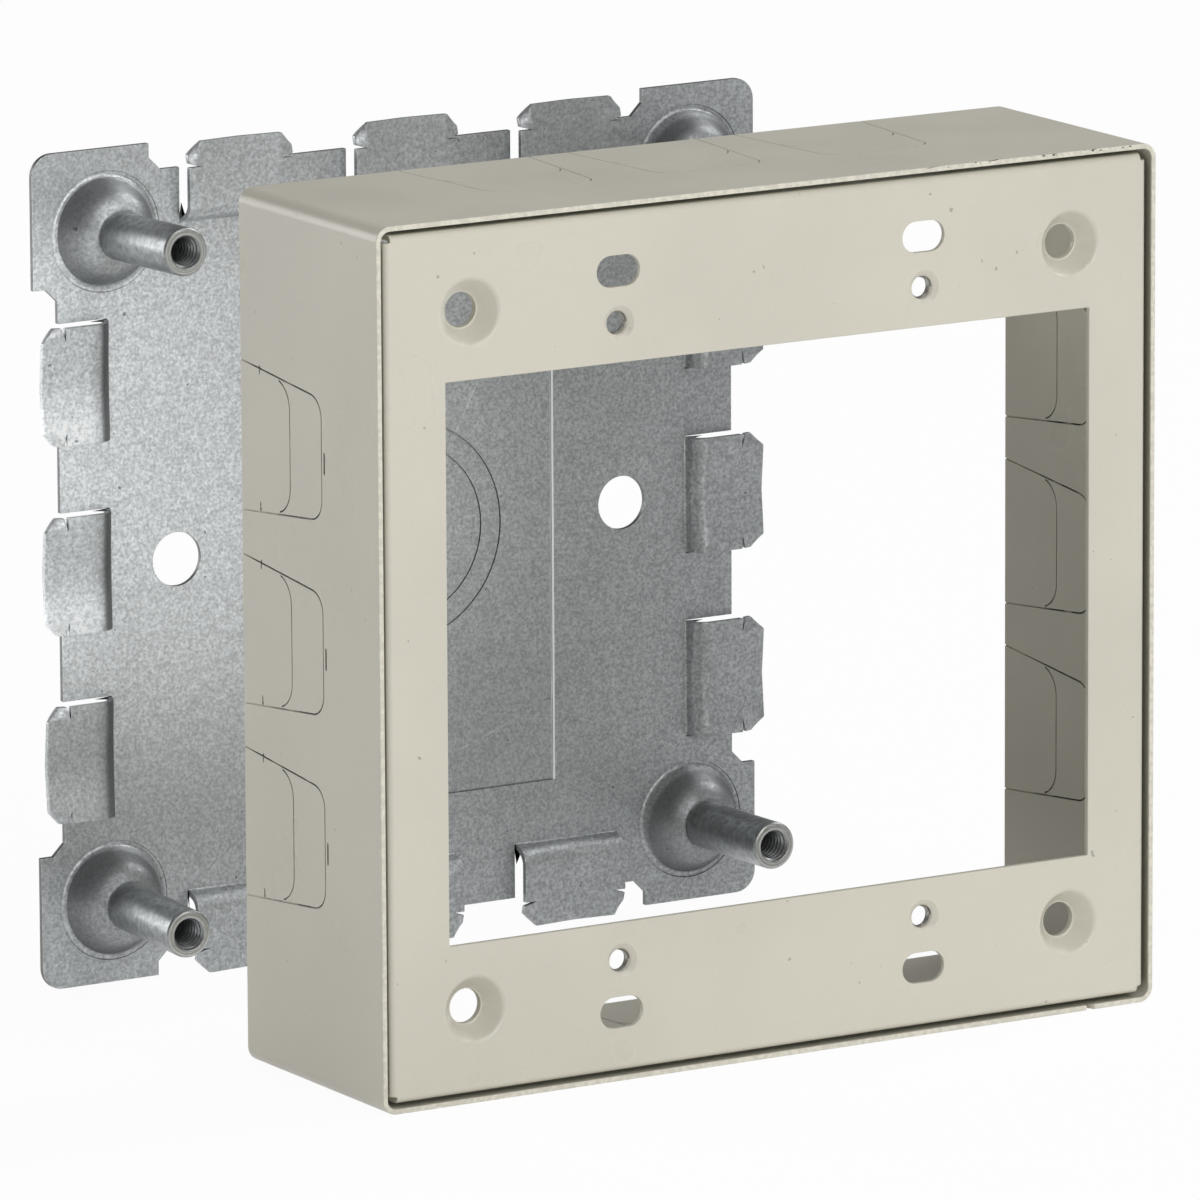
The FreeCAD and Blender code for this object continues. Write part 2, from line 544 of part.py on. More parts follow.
def make_base_plate():
    """The stamped wall plate: corner lobes, recessed edges, domes, spring clips and knockouts."""
    body = new_body("base_plate")
    blank = new_sketch(body, "BlankProfile", "XZ_Plane")
    rectangle(blank, HALF_BASE_WIDTH, HALF_BASE_HEIGHT, "lobe_corner")
    feature(body, "Pad", "Blank", blank, True, Length="base_wall", Reversed=True)

    recess = new_sketch(body, "RecessProfile", "XZ_Plane")
    windows = new_sketch(body, "WindowProfile", "XZ_Plane")
    for edge, end, upright in ((HALF_BASE_WIDTH, f"{HALF_BASE_HEIGHT} - lobe_length", True),
                               (HALF_BASE_HEIGHT, f"{HALF_BASE_WIDTH} - lobe_width", False)):
        back, reach = f"{edge} - recess_depth", f"(clip_length + {MARGIN}) / 2"
        for sign in (1, -1):
            half = [(end, f"{sign} * ({edge} + {MARGIN})"), (end, f"{sign} * ({back} + shoulder)"),
                    (f"{end} - shoulder", f"{sign} * ({back})")]
            loop = half + mirrored(half)
            outline(recess, turn(loop) if upright else loop)
            for place in range(-(ROWS // 2), ROWS // 2 + 1):
                box = ("clip_width / 2 + clip_gap", reach)
                spot = (f"{place} * clip_pitch", f"{sign} * ({edge} + {MARGIN} - {reach})")
                if upright:
                    box, spot = box[::-1], spot[::-1]
                rectangle(windows, *box, None, *spot)
    feature(body, "Pocket", "Recesses", recess, False, SideType="Symmetric", Type="ThroughAll")
    feature(body, "Pocket", "Windows", windows, False, SideType="Symmetric", Type="ThroughAll")

    holes = new_sketch(body, "PlateHoles", "XZ_Plane")
    for a in (-1, 1):
        circle(holes, "wall_hole", f"{a} * wall_hole_spacing / 2")
        for b in (-1, 1):
            circle(holes, "dome_diameter + 2 * dome_ring",
                   f"{a} * post_spacing_across / 2", f"{b} * post_spacing_up / 2")
    feature(body, "Pocket", "RoundHoles", holes, False, SideType="Symmetric", Type="ThroughAll")

    dome = new_sketch(body, "DomeProfile", "XY_Plane",
                      "post_spacing_across / 2", "0", "post_spacing_up / 2")
    foot, ring, seat = "dome_ring_depth", "dome_diameter / 2 + dome_ring", "-dome_rise"
    behind, under = f"{foot} + base_wall", f"{seat} + base_wall"
    hole = "spigot_diameter / 2 + spigot_fit"
    turned_by = f"(1 + cos({DOME_SIDE} - {DOME_CAP}))"
    outline(dome, [(ring, foot), ("dome_diameter / 2", foot, "dome_foot_round"),
                   ("dome_shoulder / 2", "-shoulder_rise", "shoulder_round"),
                   ("dome_seat / 2", seat, "seat_round"), (hole, seat), (hole, under),
                   (f"dome_seat / 2 - base_wall * tan({DOME_CAP} / 2)", under, "seat_round - base_wall"),
                   (f"dome_shoulder / 2 - base_wall * (sin({DOME_SIDE}) + sin({DOME_CAP})) / {turned_by}",
                    f"base_wall * (cos({DOME_SIDE}) + cos({DOME_CAP})) / {turned_by} - shoulder_rise",
                    "shoulder_round - base_wall"),
                   (f"dome_diameter / 2 - base_wall * tan({DOME_SIDE} / 2)", behind,
                    "dome_foot_round + base_wall"), (ring, behind)])
    made = feature(body, "Revolution", "Dome", dome, True, ReferenceAxis=(dome, ["V_Axis"]))
    repeat(body, "Domes", [made], "YZ_Plane", "XY_Plane")

    for face, out, inward in (("Front", "0", False), ("Back", "-base_wall", True)):
        marks = new_sketch(body, face + "Marks", "XZ_Plane", out=out)
        for diameter in ("ring_outer", "ring_inner"):
            circle(marks, diameter, "ring_aside", "-ring_below")
            circle(marks, f"{diameter} - 2 * mark_width", "ring_aside", "-ring_below")
        for inset in ("0", "mark_width"):
            rectangle(marks, f"panel_width / 2 - {inset}", f"panel_height / 2 - {inset}")
        feature(body, "Pocket", face + "Scores", marks, False, Length="mark_depth", Reversed=inward)
    ties = new_sketch(body, "TieProfile", "XZ_Plane")
    for a in (-1, 1):
        for b in (-1, 1):
            rectangle(ties, "tie_width / 2", "tie_length / 2", None,
                      f"{a} * (panel_width / 2 - mark_width - tie_width / 2)", f"{b} * tie_spacing / 2")
    feature(body, "Pocket", "Ties", ties, False, Length="mark_depth")

    make_clips(body, "Side", "XY_Plane", HALF_BASE_WIDTH, False, "Z_Axis", "YZ_Plane")
    make_clips(body, "Top", "YZ_Plane", HALF_BASE_HEIGHT, True, "X_Axis", "XY_Plane")
    bind(body, Placement__Base__x="-stand_shift", Placement__Base__y=f"{FACE} + stand_off",
         Placement__Base__z=HALF_BASE_HEIGHT)
    return body


def make_post(label, across, up):
    """A tapped post, turned from bar and riveted through its dome."""
    body = new_body(label)
    section = new_sketch(body, label + "_section", "XY_Plane")
    seat, under = "-dome_rise", "base_wall - dome_rise"
    end, outer = "-post_length", "post_diameter / 2"
    outline(section, [("post_mouth / 2", end), (f"{outer} - post_edge", end), (outer, f"post_edge + {end}"),
                      (outer, seat), ("spigot_diameter / 2", seat), ("spigot_diameter / 2", under),
                      ("rivet_diameter / 2", under), ("rivet_diameter / 2", f"{under} + rivet_rim"),
                      ("post_bore / 2", f"{under} + rivet_rim"),
                      ("post_bore / 2", f"(post_mouth - post_bore) / 2 + {end}")])
    feature(body, "Revolution", label + "_turned", section, True, ReferenceAxis=(section, ["V_Axis"]))
    bind(body, Placement__Base__x=f"{across} * post_spacing_across / 2 - stand_shift",
         Placement__Base__y=f"{FACE} + stand_off",
         Placement__Base__z=f"{HALF_BASE_HEIGHT} + {up} * post_spacing_up / 2")
    return body


bodies = [make_side_band(), make_front_plate(), make_base_plate()]
for height, up in (("top", 1), ("bottom", -1)):
    for side, across in (("left", -1), ("right", 1)):
        bodies.append(make_post(f"post_{height}_{side}", across, up))
doc.recompute()

for item in doc.Objects:
    if {"Invalid", "Error"} & set(item.State):
        raise ValueError(f"{item.Label} is {item.State}")
for body in bodies:
    shape = body.Shape
    if shape.isNull() or not shape.isValid() or len(shape.Solids) != 1:
        raise ValueError(f"{body.Label} is not one valid solid")

os.makedirs("parts", exist_ok=True)
for body in bodies:
    body.Shape.exportStep(os.path.join("parts", body.Label + ".step"))
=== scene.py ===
import math

import bmesh
import bpy
from bpy.props import FloatProperty, FloatVectorProperty, IntProperty, PointerProperty
from mathutils import Matrix, Vector


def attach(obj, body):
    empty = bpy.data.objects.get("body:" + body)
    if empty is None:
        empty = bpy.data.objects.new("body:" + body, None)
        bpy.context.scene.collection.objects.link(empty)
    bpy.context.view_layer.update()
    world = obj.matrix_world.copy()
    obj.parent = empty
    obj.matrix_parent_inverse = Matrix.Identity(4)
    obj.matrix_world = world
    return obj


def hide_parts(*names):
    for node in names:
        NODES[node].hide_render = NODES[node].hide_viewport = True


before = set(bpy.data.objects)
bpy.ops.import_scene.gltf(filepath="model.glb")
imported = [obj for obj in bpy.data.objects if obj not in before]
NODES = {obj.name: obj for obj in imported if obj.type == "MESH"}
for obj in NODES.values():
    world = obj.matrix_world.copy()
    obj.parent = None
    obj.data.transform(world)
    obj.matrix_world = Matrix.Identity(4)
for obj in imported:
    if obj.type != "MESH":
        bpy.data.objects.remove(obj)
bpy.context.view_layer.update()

bl_info = {
    "name": "Raceway Outlet Box",
    "version": (1, 0, 0),
    "blender": (4, 5, 0),
    "location": "3D View > Sidebar > Outlet Box",
    "description": "Dresses the painted outlet box and its galvanised base plate",
    "category": "Object",
}

MM = 0.001
WELD = 1e-6                               # points closer than this are one
FLAT = math.radians(0.6)                  # faces that turn less than this are one flat face
SHARP = math.radians(35.0)                # edges that turn more than this are rounded


def box_of(name):
    """The lowest and the highest corner of a CAD node."""
    corners = NODES[name].bound_box
    return [Vector(map(pick, *corners)) for pick in (min, max)]


# the band
BAND_LOW, BAND_HIGH = box_of("side_band")
FRONT_RIM, REAR_EDGE = BAND_LOW.y, BAND_HIGH.y
HALF_WIDTH = BAND_HIGH.x                  # outer half width of the box
BOX_HEIGHT = BAND_HIGH.z                  # outer height of the box
BOX_MIDDLE = BOX_HEIGHT / 2
BAND_WALL = 0.7 * MM
KNOCKOUT_PITCH = 25.4 * MM                # between a wall's knockouts, and between the plate's clips
SCORE_LEAST = 0.1 * MM                    # the floors of the sheared lines lie between
SCORE_MOST = 0.6 * MM                     # these two depths under a wall's face
CORNER_REACH = 8.0 * MM                   # and farther than this from the corners
NICK_DEPTH = 0.45 * MM
NICK_OVERHANG = 0.3 * MM                  # how far a nick's cutter stands out of the wall
# the nicks beside a knockout of the left wall, in mm back from the front rim and up from the knockout's
# middle: the place, the corners, the dark line's two ends and how far the line reaches to each side
NICKS = (
    ((13.62, -0.4), ((0.0, -1.3), (0.17, -1.0), (0.17, 1.0), (0.0, 1.3), (-0.17, 0.9), (-0.17, -0.9)),
     ((0.0, -1.3), (0.0, 1.3)), 0.26),
    ((30.0, 9.65), ((-0.22, 0.0), (0.26, 0.03), (0.05, -1.0)), ((0.05, -1.0), (0.02, 0.0)), 0.17),
    ((30.0, -9.15), ((-0.22, 0.0), (0.26, 0.03), (0.05, 1.0)), ((0.05, 1.0), (0.02, 0.0)), 0.17))

# the front plate
FACE = -17.2 * MM
FLANGE_GAP = 0.55 * MM                    # its flanges to the band
GAP_DEPTH = 4.0 * MM                      # how deep the dirt in that gap is seen
GAP_END = 1.4 * MM                        # where the gap ends, from the band's corners
COVER_BORE = 2.2 * MM                     # radius of a cover screw's hole
DIMPLE_REACH = 5.9 * MM                   # radius of the dimple round it
DIMPLE_SQUEEZE = 0.8                      # the pressed dimple is narrower than a plain cone,
DIMPLE_DEEPER = 1.2                       # deeper,
DIMPLE_ASIDE = 0.25 * MM                  # and a little to the right
DEVICE_ACROSS = 46.04 * MM                # between the device screws
DEVICE_UP = 83.34 * MM
DEVICE_BORE = 1.5 * MM                    # radius of their holes
DEVICE_THREAD_DEPTH = 0.26 * MM
DEVICE_THREAD_START = 0.75 * MM           # behind the face
DEVICE_THREAD_LENGTH = 1.1 * MM
DEVICE_PITCH = 0.62                       # as a share of the posts' pitch
DEVICE_THREAD_ROWS = 36                   # rows of the mesh in one turn of such a thread

# the base plate
PLATE_LOW, PLATE_HIGH = box_of("base_plate")
PLATE_SIZE = PLATE_HIGH - PLATE_LOW
PLATE_FACE = 65.4 * MM
PLATE_MIDDLE = (PLATE_LOW + PLATE_HIGH) / 2
PLATE_MIDDLE.y = PLATE_FACE               # the middle of its face
SCORE_ACROSS = 23.6 * MM                  # the scored lines lie within these two reaches
SCORE_UP = 37.1 * MM                      # of the plate's middle
OUTLINE_SIDE_ACROSS = 23.56 * MM                  # the large outline's right side
OUTLINE_SIDE_UP = 36.8 * MM
CLIP_LENGTH = 11.0 * MM
CLIP_ROOT = PLATE_LOW.x + CLIP_LENGTH
CLIP_BEND = PLATE_MIDDLE.x - 42 * MM      # the left clips' bends lie to the left of this
CLIP_ROWS = 36 * MM                       # half the height that the left clips take up
DOME_REACH = 8.4 * MM
DOME_SHIFTS = {                           # where the photograph shows each dome, across and up
    "post_top_left": (0.55, -0.15), "post_top_right": (0.0, 0.0),
    "post_bottom_left": (0.55, 0.17), "post_bottom_right": (-0.15, 0.3)}
STRETCH = 0.55 * MM                       # how much higher the plate's upper right corner lies

# the posts
POST_SPACING = 90.5 * MM                  # between the posts, and between the cover screws
POST_TIP = PLATE_FACE - 21.7 * MM
POST_SEAT = PLATE_FACE - 4.3 * MM
POST_RADIUS = 3.225 * MM
TIP_EDGE = 0.42 * MM                      # how far the tip's rounded edge goes down the shank
SHANK_ROWS = 12
MINOR, MAJOR = 1.75 * MM, 2.08 * MM       # the tapped thread's radii
THREAD_LENGTH = 9.0 * MM
THREAD_ROWS = 12                          # rows of the mesh in one turn of thread
TURNING_PITCH = 0.42 * MM                 # between the rings that the tool left
POST_LEANS = {                            # how each post leans, to the right and down, in degrees
    "post_top_left": (-0.2, -1.8), "post_top_right": (0.0, 0.0),
    "post_bottom_left": (-2.5, 0.8), "post_bottom_right": (0.3, -1.2)}

# the stage
FLOOR_HALF = 12.0
FLOOR_DROP = 0.02 * MM                    # the floor lies this far under the box
LAMP_AWAY = 1.5                           # from the box's middle
LAMP_SIZE = 0.9                           # across

# colours that don't follow the settings
# painted shade for the floors of the sheared lines and the nicks
PAINTED_GROOVE_SHADE = (0.022, 0.020, 0.014)
CHIPPED_STEEL = (0.10, 0.095, 0.08)
# painted shade in the gap behind the front rim, at the sides and at the top and bottom
SIDE_GAP_SHADE = (0.34, 0.33, 0.26)
TOP_GAP_SHADE = (0.42, 0.41, 0.33)
SHEARED_STEEL = (0.13, 0.13, 0.125)
SCRATCHED_ZINC = (0.86, 0.88, 0.88)
# painted highlight on the large outline's right side
PAINTED_OUTLINE_HIGHLIGHT = (0.92, 0.94, 0.94)


# Settings

class PaintedSheetSettings(bpy.types.PropertyGroup):
    """The painted box: its side band and its front plate."""
    paint: FloatVectorProperty(
        name="Paint", description="Colour of the enamel", subtype="COLOR",
        default=(0.635, 0.610, 0.520), min=0, max=1)
    roughness: FloatProperty(
        name="Roughness", description="Roughness of the enamel", default=0.31, min=0, max=1)
    edge_round: FloatProperty(
        name="Edge Rounding", description="Radius that the paint gives a sheet's edge",
        default=0.16 * MM, min=0, unit="LENGTH", precision=5)


class BasePlateSettings(bpy.types.PropertyGroup):
    """The galvanised base plate with its domes and clips."""
    zinc: FloatVectorProperty(
        name="Zinc", description="Colour of the galvanised sheet", subtype="COLOR",
        default=(0.49, 0.51, 0.52), min=0, max=1)
    roughness: FloatProperty(
        name="Roughness", description="Roughness of the galvanised sheet", default=0.45, min=0, max=1)
    edge_round: FloatProperty(
        name="Edge Rounding", description="Radius of the stamped edges",
        default=0.1 * MM, min=0, unit="LENGTH", precision=5)


class PostSettings(bpy.types.PropertyGroup):
    """The four tapped posts."""
    steel: FloatVectorProperty(
        name="Steel", description="Colour of the turned steel", subtype="COLOR",
        default=(0.34, 0.355, 0.36), min=0, max=1)
    pitch: FloatProperty(
        name="Thread Pitch", description="Pitch of the posts' threads",
        default=0.794 * MM, min=0.1 * MM, unit="LENGTH", precision=5)
    steps: IntProperty(
        name="Steps Round", description="Faces round a post", default=56, min=12)


class StageSettings(bpy.types.PropertyGroup):
    """Camera, lamps and even light."""
    camera_place: FloatVectorProperty(
        name="Camera", description="Where the camera stands", subtype="TRANSLATION", unit="LENGTH",
        default=(-0.84047, -1.36539, 0.39243))
    azimuth: FloatProperty(
        name="Azimuth", description="The camera looks along +Y, turned by this towards +X",
        subtype="ANGLE", default=math.radians(31.1367))
    dip: FloatProperty(
        name="Dip", description="How far the camera looks down", subtype="ANGLE",
        default=math.radians(11.7954))
    roll: FloatProperty(
        name="Roll", description="The camera's turn about its own view", subtype="ANGLE",
        default=math.radians(-0.2863))
    lens: FloatProperty(
        name="Lens", description="Focal length in millimetres on a sensor 36 mm wide",
        default=378.25, min=1)
    front: FloatProperty(
        name="Front", description="Power of the low lamp in front", subtype="POWER", default=8.2)
    upper: FloatProperty(
        name="Upper", description="Power of the high lamp in front", subtype="POWER", default=5.5)
    right: FloatProperty(
        name="Right", description="Power of the lamp at the right", subtype="POWER", default=10.7)
    rear: FloatProperty(
        name="Rear", description="Power of the lamp behind, at the left", subtype="POWER", default=8.0)
    sky: FloatProperty(name="Sky", description="Strength of the even light", default=0.22, min=0)


# Node helpers

class Nodes:
    """Short ways to add nodes to one material."""

    def __init__(self, name):
        self.material = bpy.data.materials.new(name)
        self.material.use_nodes = True
        self.tree = self.material.node_tree
        self.tree.nodes.clear()
        self.output = self.tree.nodes.new("ShaderNodeOutputMaterial")
        self.where = self.add("ShaderNodeTexCoord").outputs["Object"]

    def add(self, kind, **facts):
        node = self.tree.nodes.new(kind)
        for key, item in facts.items():
            setattr(node, key, item)
        return node

    def set(self, socket, item):
        """A socket takes a link or a plain value, and None leaves it as it is."""
        if isinstance(item, bpy.types.NodeSocket):
            self.tree.links.new(item, socket)
        elif item is not None:
            socket.default_value = item

    def math(self, operation, a, b=None):
        node = self.add("ShaderNodeMath", operation=operation)
        for socket, item in zip(node.inputs, (a, b)):
            self.set(socket, item)
        return node.outputs[0]

    def product(self, first, *others):
        for other in others:
            first = self.math("MULTIPLY", first, other)
        return first

    def strongest(self, marks):
        """The greatest of several numbers."""
        first, *others = marks
        for other in others:
            first = self.math("MAXIMUM", first, other)
        return first

    def away(self, item, middle):
        """How far a number lies from a middle, to either side."""
        return self.math("ABSOLUTE", self.math("SUBTRACT", item, middle))

    def vector(self, operation, a, b, out="Vector"):
        node = self.add("ShaderNodeVectorMath", operation=operation)
        for socket, item in zip(node.inputs, (a, b)):
            self.set(socket, item)
        return node.outputs[out]

    def scaled(self, vector, factor):
        """A colour or a vector times a number."""
        node = self.add("ShaderNodeVectorMath", operation="SCALE")
        self.set(node.inputs[0], vector)
        self.set(node.inputs["Scale"], factor)
        return node.outputs[0]

    def split(self, vector):
        """The x, y and z of a vector."""
        node = self.add("ShaderNodeSeparateXYZ")
        self.set(node.inputs[0], vector)
        return node.outputs

    def facing(self):
        """The x, y and z of the way that the surface faces."""
        return self.split(self.add("ShaderNodeNewGeometry").outputs["Normal"])

    def mark(self, name):
        """A number that the mesh carries at each point."""
        return self.add("ShaderNodeAttribute", attribute_type="GEOMETRY", attribute_name=name).outputs["Fac"]

    def noise(self, scale, detail=2.0, roughness=0.5, stretch=None):
        """Cloudy noise: how many clouds to a metre, how many finer layers, and how strong those are."""
        node = self.add("ShaderNodeTexNoise")
        place = self.vector("MULTIPLY", self.where, stretch) if stretch else self.where
        self.set(node.inputs["Vector"], place)
        node.inputs["Scale"].default_value = scale
        node.inputs["Detail"].default_value = detail
        node.inputs["Roughness"].default_value = roughness
        return node.outputs["Fac"]

    def band(self, item, low, high, to_low=0.0, to_high=1.0):
        """Map a range smoothly onto another."""
        node = self.add("ShaderNodeMapRange", interpolation_type="SMOOTHSTEP")
        for key, number in (("Value", item), ("From Min", low), ("From Max", high),
                            ("To Min", to_low), ("To Max", to_high)):
            self.set(node.inputs[key], number)
        return node.outputs["Result"]

    def mix(self, factor, a, b):
        """A colour between two."""
        node = self.add("ShaderNodeMix", data_type="RGBA")
        self.set(node.inputs[0], factor)
        for socket, item in ((node.inputs[6], a), (node.inputs[7], b)):
            self.set(socket, (*item, 1.0) if isinstance(item, tuple) else item)
        return node.outputs[2]

    def bump(self, height, distance, strength, after=None):
        node = self.add("ShaderNodeBump")
        node.inputs["Strength"].default_value = strength
        node.inputs["Distance"].default_value = distance
        self.set(node.inputs["Height"], height)
        self.set(node.inputs["Normal"], after)
        return node.outputs["Normal"]

    def scratch(self, start, end, reach):
        """1 along a line between two places, 0 farther from it than its reach."""
        start, end = Vector(start), Vector(end)
        way = end - start
        offset = self.vector("SUBTRACT", self.where, tuple(start))
        along = self.vector("DOT_PRODUCT", offset, tuple(way / way.length_squared), out="Value")
        along = self.math("MAXIMUM", self.math("MINIMUM", along, 1.0), 0.0)
        gap = self.vector("DISTANCE", offset, self.scaled(tuple(way), along), out="Value")
        return self.band(gap, reach * 0.4, reach, 1.0, 0.0)

    def open_air(self, reach):
        """1 in the open, falling to 0 in a crevice."""
        node = self.add("ShaderNodeAmbientOcclusion", samples=12)
        node.inputs["Distance"].default_value = reach
        return node.outputs["AO"]

    def surface(self, color, roughness, metallic=0.0, normal=None):
        shader = self.add("ShaderNodeBsdfPrincipled")
        for key, item in (("Base Color", color), ("Roughness", roughness), ("Metallic", metallic),
                          ("Normal", normal)):
            self.set(shader.inputs[key], item)
        self.tree.links.new(shader.outputs[0], self.output.inputs["Surface"])
        return self.material


def shade(color, factor):
    """A plain colour made lighter or darker."""
    return tuple(min(1.0, channel * factor) for channel in color)


# Materials

def ivory_enamel(settings):
    """Ivory enamel: orange peel, dust in the paint, painted shade in the sheared lines and nicks, a painted
    highlight with wear on the front rim, chips and painted shade in the gap.
    """
    n = Nodes("ivory enamel")
    paint = tuple(settings.paint)
    x, y, z = n.split(n.where)
    color = n.mix(n.band(n.noise(28.0, 3.0), 0.35, 0.65), shade(paint, 0.965), shade(paint, 1.02))
    # pale and dark dust in the paint
    dust = n.noise(1200.0, 2.0, 0.6)
    color = n.mix(n.band(dust, 0.765, 0.785, 0.0, 0.5), color, shade(paint, 1.22))
    dark_dust = n.noise(900.0, 1.0, 0.4, (1.0, 1.2, 0.9))
    color = n.mix(n.band(dark_dust, 0.80, 0.82, 0.0, 0.6), color, shade(paint, 0.4))
    # painted shade on the floors of the sheared lines, and a painted highlight instead on the top wall,
    # where they catch the light
    on_top = n.math("GREATER_THAN", z, BOX_HEIGHT - 0.6 * MM)
    line_shade_and_highlight = n.mix(on_top, PAINTED_GROOVE_SHADE, shade(paint, 1.15))
    broken = n.band(n.noise(260.0, 2.0), 0.38, 0.5, 0.3, 1.0)
    color = n.mix(n.product(n.band(n.mark("score"), 0.15, 0.75), broken), color, line_shade_and_highlight)
    # the nicks of the left wall, with painted shade along their dark lines
    dark = n.strongest(n.scratch(*line, reach) for _, line, reach in nicks())
    color = n.mix(n.product(dark, 0.9), color, PAINTED_GROOVE_SHADE)
    # the front rim, painted lighter: a painted highlight along the edge, broken up like worn paint
    behind = n.math("SUBTRACT", y, FRONT_RIM)
    rim = n.band(behind, 0.05 * MM, 0.22 * MM, 1.0, 0.0)
    rim_highlight_and_wear = n.product(rim, n.band(n.noise(1300.0, 2.0), 0.42, 0.62), 0.55)
    color = n.mix(rim_highlight_and_wear, color, shade(paint, 1.3))
    # chips on the top rim, towards the right
    edge = n.product(n.band(z, BOX_HEIGHT - 0.42 * MM, BOX_HEIGHT - 0.2 * MM),
                     n.band(x, 14 * MM, 34 * MM),
                     n.band(behind, 0.25 * MM, 0.5 * MM, 1.0, 0.0))
    flakes = n.noise(700.0, 3.0, 0.7, (1.0, 1.6, 1.6))
    color = n.mix(n.product(edge, n.band(flakes, 0.50, 0.56, 0.0, 0.6)), color, shade(paint, 1.28))
    color = n.mix(n.product(edge, n.band(flakes, 0.585, 0.61)), color, CHIPPED_STEEL)
    # painted shade in the gap between the face and the band
    color = painted_gap_shade(n, color)
    peel = n.bump(n.noise(420.0, 2.0), 0.012 * MM, 0.5)
    grit = n.bump(n.band(dust, 0.62, 0.74), 0.03 * MM, 0.6, peel)
    rough = n.band(n.noise(60.0), 0.3, 0.7, settings.roughness - 0.04, settings.roughness + 0.05)
    return n.surface(color, rough, normal=grit)


def painted_gap_shade(n, color):
    """Painted shade in the gap between the face and the band, fading towards the corners and the rim."""
    x, y, z = n.split(n.where)
    side, up = n.math("ABSOLUTE", x), n.away(z, BOX_MIDDLE)
    shown = n.math("LESS_THAN", y, FRONT_RIM + GAP_DEPTH)
    deep = n.band(y, FRONT_RIM + 0.1 * MM, FRONT_RIM + 0.55 * MM)
    for place, half, along, end, gap_shade_color in (
            (side, HALF_WIDTH, up, BOX_MIDDLE - GAP_END, SIDE_GAP_SHADE),
            (up, BOX_MIDDLE, side, HALF_WIDTH - GAP_END, TOP_GAP_SHADE)):
        outer = half - BAND_WALL + 0.1 * MM
        inner = half - BAND_WALL - FLANGE_GAP - 0.1 * MM
        between = n.product(n.math("GREATER_THAN", place, inner), n.math("LESS_THAN", place, outer))
        ends = n.band(along, end - 2 * MM, end, 1.0, 0.0)
        color = n.mix(n.product(shown, between, ends, deep), color, gap_shade_color)
    return color


def galvanised_sheet(settings):
    """Galvanised sheet: dull zinc with a fine mottle, dark specks, scratches and bare steel on its sheared
    edges, with painted light and shade: lighter to the left, darker on the domes, the clips and in crevices,
    and a painted highlight on the large outline.
    """
    n = Nodes("galvanised sheet")
    zinc = tuple(settings.zinc)
    x, y, z = n.split(n.where)
    mottle = n.noise(2600.0, 2.0, 0.6)
    color = n.mix(n.band(n.noise(700.0), 0.35, 0.65), shade(zinc, 1.04), shade(zinc, 0.94))
    color = n.mix(n.band(n.noise(45.0, 3.0, 0.6), 0.32, 0.68, 0.0, 0.4), color, shade(zinc, 0.88))
    # painted light and shade: the sheet is painted brighter towards the left, most of all at half height,
    # and darker to the right, where the box shades it
    left = n.band(x, -60 * MM, 27 * MM, 1.0, 0.0)
    waist = n.band(n.away(z, 70 * MM), 18 * MM, 54 * MM, 1.0, 0.2)
    color = n.mix(n.product(left, waist), n.scaled(color, 0.735), n.scaled(color, 1.66))
    color = n.scaled(color, n.band(mottle, 0.3, 0.7, 0.86, 1.14))
    color = n.scaled(color, n.band(n.noise(1900.0, 1.5, 0.6), 0.3, 0.7, 0.82, 1.14))
    # painted light and shade on the left clips
    color = clip_painted_light(n, zinc, color)
    # the sheared edges are bare steel
    sheared = n.product(n.math("GREATER_THAN", y, PLATE_FACE + 0.06 * MM),
                        n.band(n.math("ABSOLUTE", n.facing()[1]), 0.2, 0.6, 0.85, 0.0))
    color = n.mix(sheared, color, SHEARED_STEEL)
    # painted shade on the domes
    color = dome_painted_shade(n, zinc, color)
    specks = n.band(n.noise(950.0, 1.5), 0.735, 0.765)
    color = n.mix(n.product(specks, 0.75), color, shade(zinc, 0.2))
    lines = n.strongest(n.product(n.scratch(*line, reach), strength)
                        for line, reach, strength in plate_scratches())
    color = n.mix(n.product(lines, n.band(n.noise(900.0), 0.3, 0.55)), color, SCRATCHED_ZINC)
    # painted shade in the crevices
    color = n.mix(n.band(n.open_air(0.9 * MM), 0.05, 0.55, 0.7, 0.0), color, shade(zinc, 0.12))
    # painted highlight: the right side of the large outline is painted bright, where its groove's wall
    # catches the light
    outline_highlight = n.product(n.band(n.away(x, PLATE_MIDDLE.x + OUTLINE_SIDE_ACROSS), 0.15 * MM, 0.22 * MM, 1.0, 0.0),
                     n.math("GREATER_THAN", y, PLATE_FACE - 0.1 * MM),
                     n.math("LESS_THAN", n.away(z, PLATE_MIDDLE.z), OUTLINE_SIDE_UP))
    color = n.mix(n.product(outline_highlight, 0.9), color, PAINTED_OUTLINE_HIGHLIGHT)
    rough = n.band(mottle, 0.3, 0.7, settings.roughness + 0.08, settings.roughness - 0.06)
    dents = n.bump(mottle, 0.015 * MM, 0.5)
    dents = n.bump(n.noise(180.0), 0.02 * MM, 0.3, dents)
    return n.surface(color, rough, 0.75, dents)


